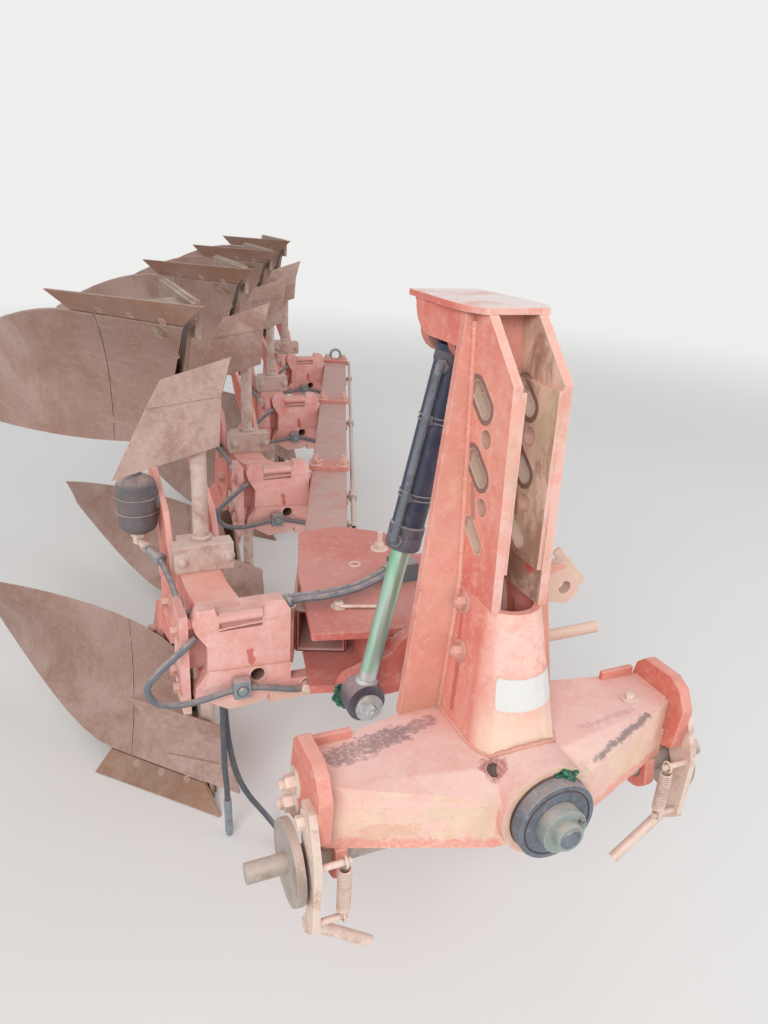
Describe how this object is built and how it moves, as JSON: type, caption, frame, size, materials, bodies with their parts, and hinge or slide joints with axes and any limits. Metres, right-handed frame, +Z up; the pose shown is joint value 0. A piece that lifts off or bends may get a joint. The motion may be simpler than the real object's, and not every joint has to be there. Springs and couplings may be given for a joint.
{
  "type": "reversible mouldboard plough",
  "caption": "Fully mounted reversible mouldboard plough with a three-point tower, turnover ram, slanted beam, hydraulic reset legs, skimmers and opposed plough bodies.",
  "frame": {"origin": "on the floor, in the middle of the whole machine", "axes": "+Z up, travel towards -Y, +X to the side that the lower bodies leave free"},
  "size_m": [2.082, 4.926, 1.57],
  "materials": {
    "paint": "weathered red paint, faded and dusty",
    "share_steel": "rusty soil-worn steel",
    "worn_steel": "dull steel with dust",
    "dark_steel": "dark worn steel",
    "barrel_paint": "dark blue paint, scuffed",
    "rod_chrome": "polished rod",
    "hose_rubber": "weathered hose",
    "tank_grey": "grey paint"
  },
  "bodies": {
    "headstock": {"tower_plates": "paint", "tower_front": "paint", "tower_back_plate": "paint", "tower_cap": "paint", "crossbeam": "paint", "end_plates": "paint", "cross_shaft": "worn_steel", "shaft_hangers": "paint", "latch_levers": "worn_steel", "latch_springs": "worn_steel", "ram_top_pin": "worn_steel"},
    "plough_frame": {"turnover_shaft": "dark_steel", "thrust_disc": "dark_steel", "shaft_nut": "dark_steel", "turnover_head": "paint", "frame_plates": "paint", "main_beam": "paint", "beam_clamps": "paint", "reset_housing_1": "paint", "reset_housing_2": "paint", "reset_housing_3": "paint", "reset_housing_4": "paint", "reset_legs": "paint", "accumulators": "tank_grey", "reset_hoses": "hose_rubber", "feed_hoses": "hose_rubber", "beam_pipe": "worn_steel", "free_hose_1": "hose_rubber", "free_hose_2": "hose_rubber", "hose_fittings": "dark_steel", "frogs": "share_steel", "landsides": "share_steel", "shares": "share_steel", "shins": "share_steel", "mouldboards": "share_steel", "skimmer_stems": "worn_steel", "skimmer_clamps": "worn_steel", "skimmers": "share_steel", "stand_bracket": "paint", "stand_pin": "worn_steel"},
    "parking_stand": {"stand_leg": "paint"},
    "ram_barrel_body": {"ram_barrel": "barrel_paint", "ram_pipe": "dark_steel"},
    "ram_rod_body": {"ram_rod": "rod_chrome", "ram_eye": "barrel_paint"}
  },
  "joints": [
    {"name": "turnover", "type": "hinge", "parent": "headstock", "child": "plough_frame", "pos_m": [0.03, -2.25, 0.74], "axis": [0, 1, 0], "range_deg": [0, 180]},
    {"name": "stand_fold", "type": "hinge", "parent": "plough_frame", "child": "parking_stand", "pos_m": [0.48, -1.422, 0.712], "axis": [1, 0, 0], "range_deg": [0, 90]},
    {"name": "ram_swing", "type": "hinge", "parent": "headstock", "child": "ram_barrel_body", "pos_m": [0.03, -1.93, 1.5], "axis": [0, 1, 0], "range_deg": [-14.5, 0.1]},
    {"name": "ram_stroke", "type": "slide", "parent": "ram_barrel_body", "child": "ram_rod_body", "axis": [0.2011, 0, 0.9796], "range_m": [-0.0005, 0.3125]}
  ],
  "couplings": [
    {"joint": "ram_swing", "follows": "turnover", "ratio": -0.08},
    {"joint": "ram_stroke", "follows": "turnover", "m_per_rad": 0.099313}
  ]
}
